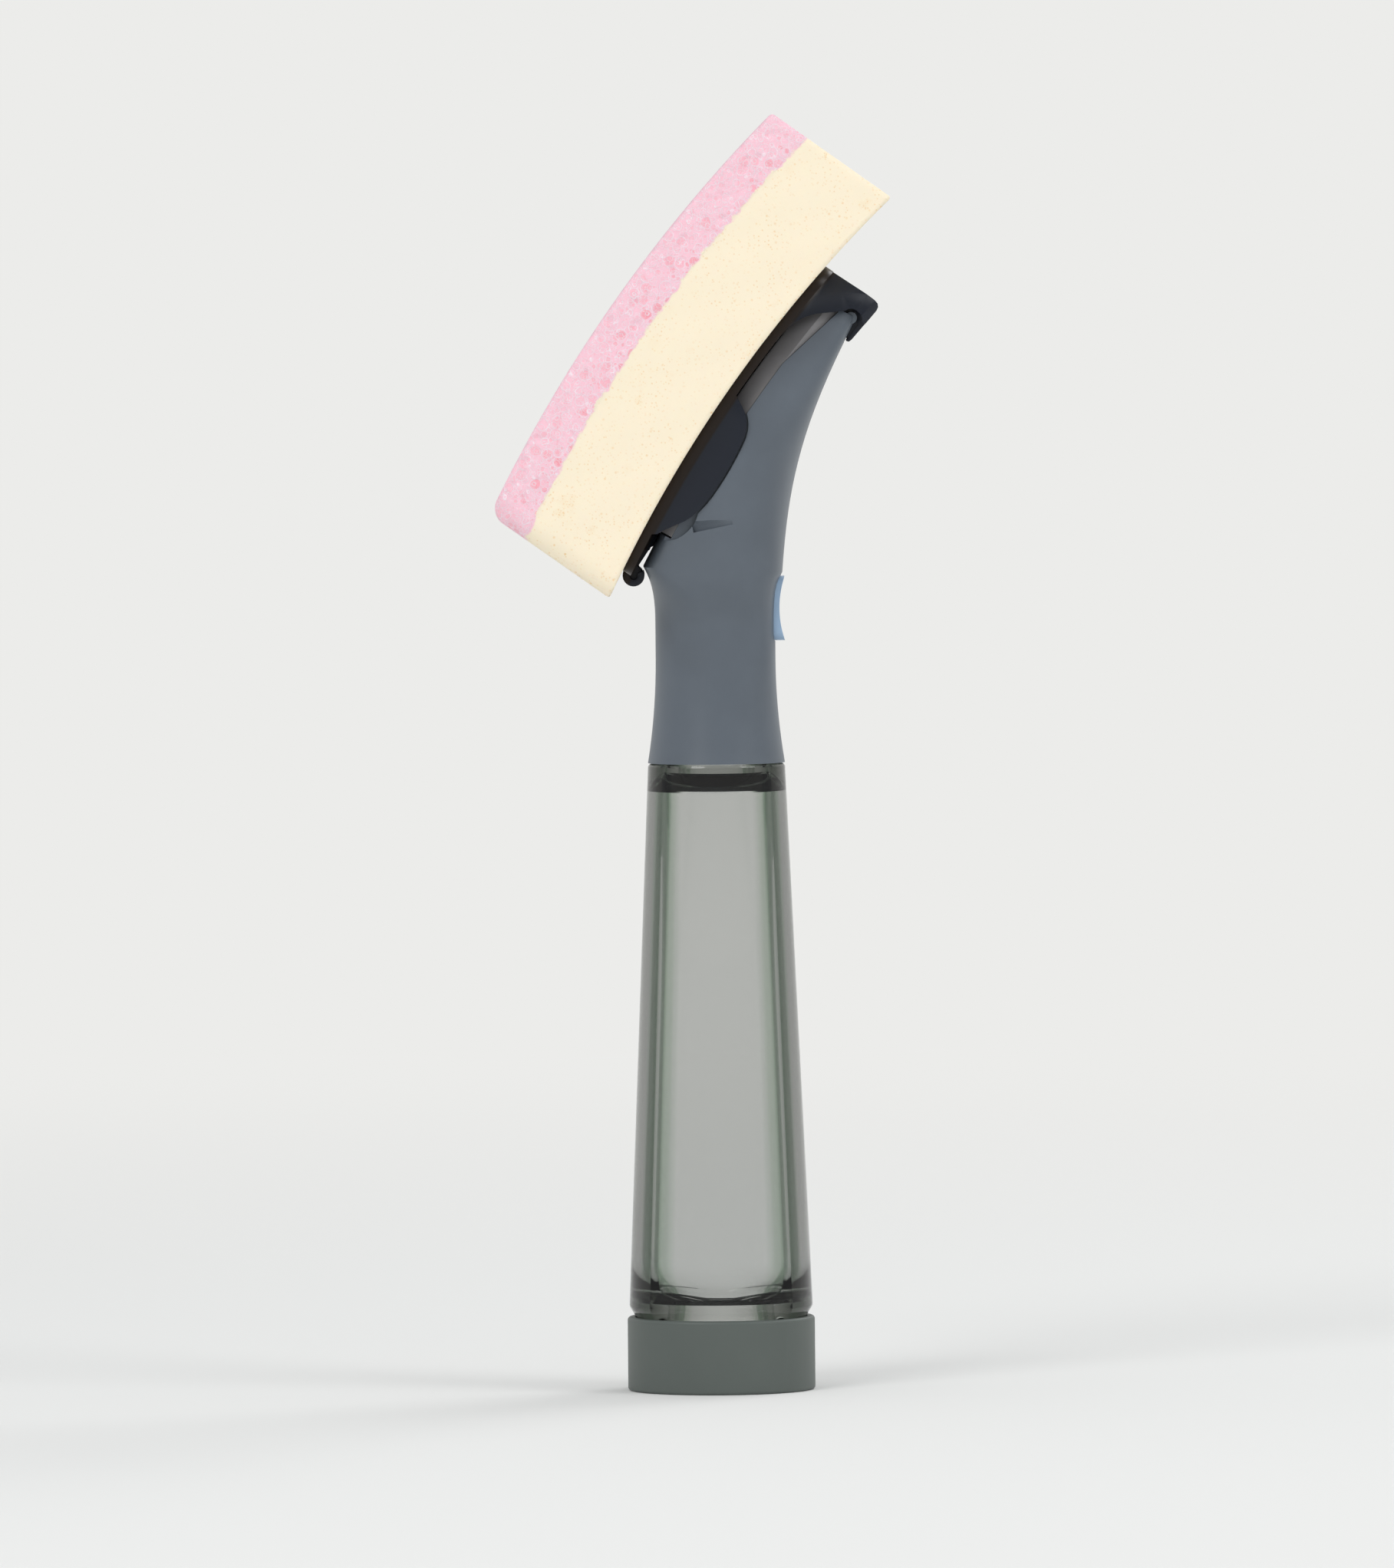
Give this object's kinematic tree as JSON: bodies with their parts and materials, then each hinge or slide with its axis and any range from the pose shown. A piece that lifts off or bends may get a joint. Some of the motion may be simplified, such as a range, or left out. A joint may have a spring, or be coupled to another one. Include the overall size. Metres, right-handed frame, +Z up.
{
  "type": "dish wand",
  "caption": "Soap-filled dish wand standing on its screw cap: clear handle, thumb button that opens a valve in the neck, curved head and click-on sponge refill",
  "frame": {"origin": "middle of the base cap's flat underside, on the handle's axis", "axes": "+Z up the handle, -X the way the sponge faces, +X the thumb button's side, Y across the sponge's width; the object is symmetric about the XZ plane"},
  "size_m": [0.0845, 0.046, 0.2683],
  "materials": {
    "scourer_pad": "open-cell pink scouring foam",
    "foam_block": "fine-pored cream sponge",
    "refill_carrier": "glossy near-black moulding",
    "face_plate": "satin grey moulding",
    "head_shell": "satin slate grey moulding",
    "thumb_button": "satin pale blue moulding",
    "valve_plunger": "white acetal",
    "poppet_seal": "black rubber",
    "return_spring": "stainless wire",
    "spring_plug": "white acetal",
    "stem_seal": "black rubber",
    "stem_gland": "white acetal",
    "valve_block": "white acetal",
    "block_seal": "black rubber",
    "outlet_seal": "black rubber",
    "neck_gasket": "black rubber",
    "bottle": "clear smoky plastic",
    "base_cap": "satin dark grey-green moulding",
    "cap_liner": "black rubber"
  },
  "bodies": {
    "handle": {"head_shell": "head_shell", "face_plate": "face_plate", "bottle": "bottle", "valve_block": "valve_block", "stem_gland": "stem_gland", "stem_seal": "stem_seal", "spring_plug": "spring_plug", "block_seal": "block_seal", "outlet_seal": "outlet_seal", "neck_gasket": "neck_gasket"},
    "button": {"thumb_button": "thumb_button", "valve_plunger": "valve_plunger", "poppet_seal": "poppet_seal", "return_spring": "return_spring"},
    "refill": {"scourer_pad": "scourer_pad", "foam_block": "foam_block", "refill_carrier": "refill_carrier"},
    "cap_carriage": {"cap_liner": "cap_liner"},
    "cap": {"base_cap": "base_cap"}
  },
  "joints": [
    {"name": "button_press", "type": "slide", "parent": "handle", "child": "button", "axis": [-1, 0, 0], "range_m": [0, 0.002], "stiffness_N_per_m": 600, "springref_m": -0.002, "deforming": ["return_spring"]},
    {"name": "refill_swing", "type": "hinge", "parent": "handle", "child": "refill", "pos_m": [0.02898, 0, 0.22525], "axis": [0, 1, 0], "range_deg": [0, 15]},
    {"name": "cap_travel", "type": "slide", "parent": "handle", "child": "cap_carriage", "axis": [0, 0, -1], "range_m": [0, 0.0061]},
    {"name": "cap_turn", "type": "hinge", "parent": "cap_carriage", "child": "cap", "pos_m": [0, 0, 0.0078], "axis": [0, 0, -1], "range_deg": [0, 720]}
  ],
  "couplings": [
    {"joint": "cap_travel", "follows": "cap_turn", "m_per_rad": 0.0004775}
  ]
}
